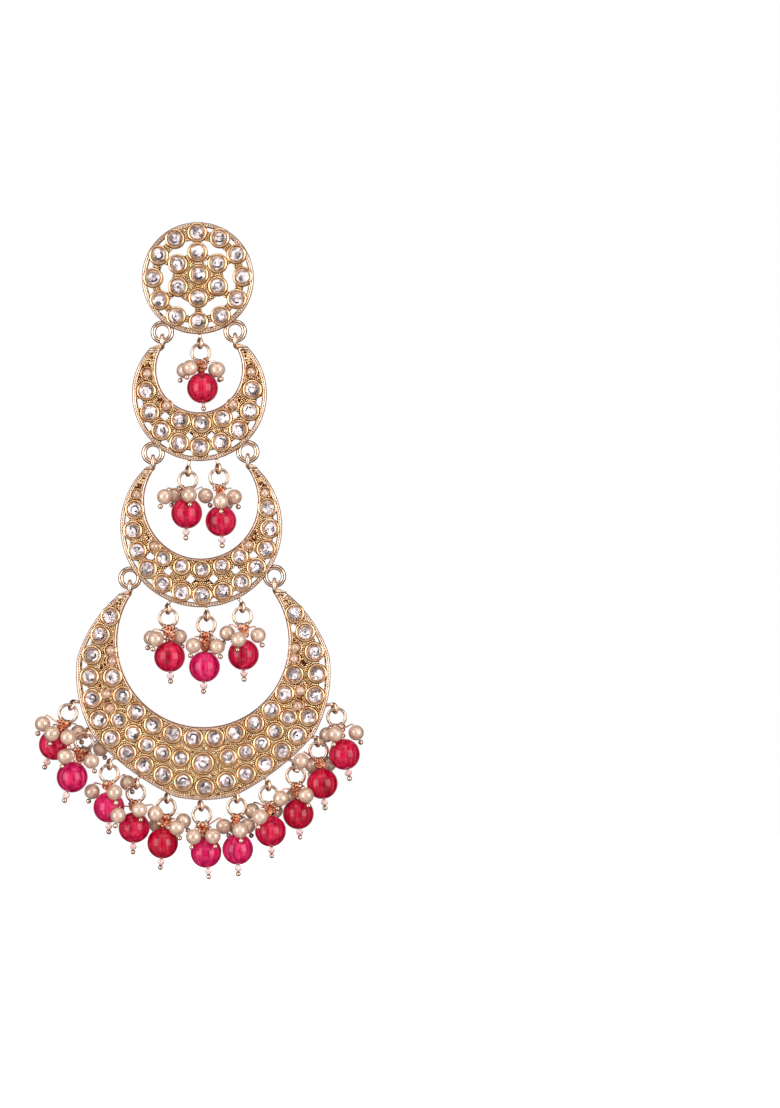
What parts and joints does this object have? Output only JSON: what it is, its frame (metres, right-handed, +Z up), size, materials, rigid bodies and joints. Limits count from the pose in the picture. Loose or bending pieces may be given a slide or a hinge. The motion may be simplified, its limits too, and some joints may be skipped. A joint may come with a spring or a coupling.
{
  "type": "statement earring",
  "caption": "Long chandbali earring: a stone-set disc and three linked pierced crescents with half pearls, hung with red beads and small pearls.",
  "frame": {"origin": "the middle of the disc on its back face, where it lies against the ear lobe", "axes": "+Z up as worn, -Y towards the viewer in front, +X to the viewer's right"},
  "size_m": [0.063, 0.0177, 0.1262],
  "materials": {
    "gold": "cast and polished, rose-tinged gold plating",
    "gold_wire": "polished gold-plated wire",
    "clear_stone": "polished, foil behind",
    "half_pearl": "pinkish cream pearl lustre",
    "hanging_pearl": "champagne cream pearl lustre",
    "red_bead": "polished, slightly clear crimson"
  },
  "bodies": {
    "root": {"disc_frame": "gold", "disc_stones": "clear_stone", "ear_post": "gold_wire", "bead_a1": "red_bead", "jump_ring_a1": "gold_wire", "disc_pins": "gold_wire", "disc_pearls": "hanging_pearl"},
    "crescent_1": {"crescent_1_frame": "gold", "crescent_1_stones": "clear_stone", "crescent_1_half_pearls": "half_pearl", "bead_b1": "red_bead", "jump_ring_b1": "gold_wire", "bead_b2": "red_bead", "jump_ring_b2": "gold_wire", "crescent_1_pins": "gold_wire", "crescent_1_pearls": "hanging_pearl"},
    "crescent_2": {"crescent_2_frame": "gold", "crescent_2_stones": "clear_stone", "crescent_2_half_pearls": "half_pearl", "bead_c1": "red_bead", "jump_ring_c1": "gold_wire", "bead_c2": "red_bead", "jump_ring_c2": "gold_wire", "bead_c3": "red_bead", "jump_ring_c3": "gold_wire", "crescent_2_pins": "gold_wire", "crescent_2_pearls": "hanging_pearl"},
    "crescent_3": {"crescent_3_frame": "gold", "crescent_3_stones": "clear_stone", "crescent_3_half_pearls": "half_pearl", "bead_d1": "red_bead", "jump_ring_d1": "gold_wire", "bead_d2": "red_bead", "jump_ring_d2": "gold_wire", "bead_d3": "red_bead", "jump_ring_d3": "gold_wire", "bead_d4": "red_bead", "jump_ring_d4": "gold_wire", "bead_d5": "red_bead", "jump_ring_d5": "gold_wire", "bead_d6": "red_bead", "jump_ring_d6": "gold_wire", "bead_d7": "red_bead", "jump_ring_d7": "gold_wire", "bead_d8": "red_bead", "jump_ring_d8": "gold_wire", "bead_d9": "red_bead", "jump_ring_d9": "gold_wire", "bead_d10": "red_bead", "jump_ring_d10": "gold_wire", "bead_d11": "red_bead", "jump_ring_d11": "gold_wire", "crescent_3_pins": "gold_wire", "crescent_3_pearls": "hanging_pearl"}
  },
  "joints": [
    {"name": "crescent_1_swing", "type": "hinge", "parent": "root", "child": "crescent_1", "pos_m": [0, -0.0006, -0.012], "axis": [1, 0, 0], "range_deg": [-75, 75]},
    {"name": "crescent_2_swing", "type": "hinge", "parent": "crescent_1", "child": "crescent_2", "pos_m": [0, -0.0006, -0.0352], "axis": [1, 0, 0], "range_deg": [-75, 75]},
    {"name": "crescent_3_swing", "type": "hinge", "parent": "crescent_2", "child": "crescent_3", "pos_m": [0, -0.0006, -0.0592], "axis": [1, 0, 0], "range_deg": [-75, 75]}
  ]
}
